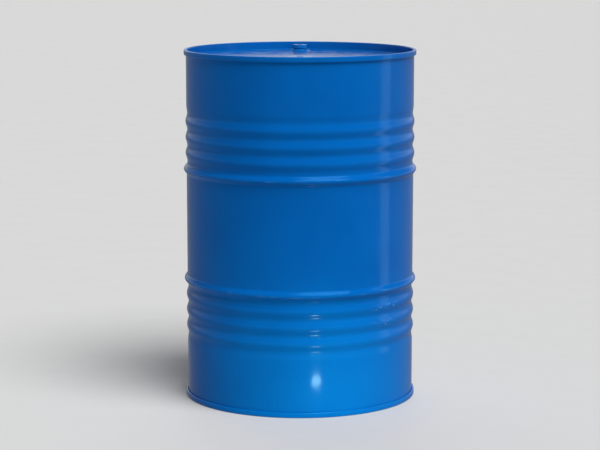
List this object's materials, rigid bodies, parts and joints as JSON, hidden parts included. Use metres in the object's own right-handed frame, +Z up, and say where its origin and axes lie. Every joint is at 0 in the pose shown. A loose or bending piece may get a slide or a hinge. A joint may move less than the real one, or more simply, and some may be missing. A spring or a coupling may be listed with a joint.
{
  "type": "tight-head steel drum",
  "caption": "Upright steel drum with rolling hoops, ring beads and rolled chimes; its fixed head has a large and a small threaded bung under tear-off cap seals.",
  "frame": {"origin": "on the floor, under the centre of the drum, in the plane of the bottom chime's rim", "axes": "+Z up along the drum's axis, -Y (the front) towards the large bung and +Y towards the small bung"},
  "size_m": [0.588, 0.5878, 0.88],
  "materials": {
    "blue_paint": "gloss",
    "zinc_plate": "satin",
    "black_rubber": "matte",
    "seam_compound": "matte",
    "cap_lacquer": "gloss",
    "liner_board": "matte"
  },
  "bodies": {
    "drum": {"body_shell": "blue_paint", "top_head": "blue_paint", "bottom_head": "blue_paint", "top_seam_compound": "seam_compound", "bottom_seam_compound": "seam_compound", "flange_2in": "zinc_plate", "flange_gasket_2in": "black_rubber", "flange_3_4in": "zinc_plate", "flange_gasket_3_4in": "black_rubber"},
    "rise_2in": {"plug_gasket_2in": "black_rubber"},
    "plug_2in": {"plug_2in": "zinc_plate"},
    "seal_2in": {"cap_seal_2in": "cap_lacquer", "cap_liner_2in": "liner_board"},
    "rise_3_4in": {"plug_gasket_3_4in": "black_rubber"},
    "plug_3_4in": {"plug_3_4in": "zinc_plate"},
    "seal_3_4in": {"cap_seal_3_4in": "cap_lacquer", "cap_liner_3_4in": "liner_board"}
  },
  "joints": [
    {"name": "plug_2in_rise", "type": "slide", "parent": "drum", "child": "rise_2in", "axis": [0, 0, 1], "range_m": [0, 0.01617]},
    {"name": "plug_2in_turn", "type": "hinge", "parent": "rise_2in", "child": "plug_2in", "pos_m": [0, -0.208, 0.88], "axis": [0, 0, 1], "range_deg": [0, 2520]},
    {"name": "seal_2in_lift", "type": "slide", "parent": "rise_2in", "child": "seal_2in", "axis": [0, 0, 1], "range_m": [0, 0.12]},
    {"name": "plug_3_4in_rise", "type": "slide", "parent": "drum", "child": "rise_3_4in", "axis": [0, 0, 1], "range_m": [0, 0.01543]},
    {"name": "plug_3_4in_turn", "type": "hinge", "parent": "rise_3_4in", "child": "plug_3_4in", "pos_m": [0, 0.222, 0.88], "axis": [0, 0, 1], "range_deg": [0, 3060]},
    {"name": "seal_3_4in_lift", "type": "slide", "parent": "rise_3_4in", "child": "seal_3_4in", "axis": [0, 0, 1], "range_m": [0, 0.12]}
  ],
  "couplings": [
    {"joint": "plug_2in_rise", "follows": "plug_2in_turn", "m_per_rad": 0.0003675},
    {"joint": "plug_3_4in_rise", "follows": "plug_3_4in_turn", "m_per_rad": 0.00028875}
  ]
}
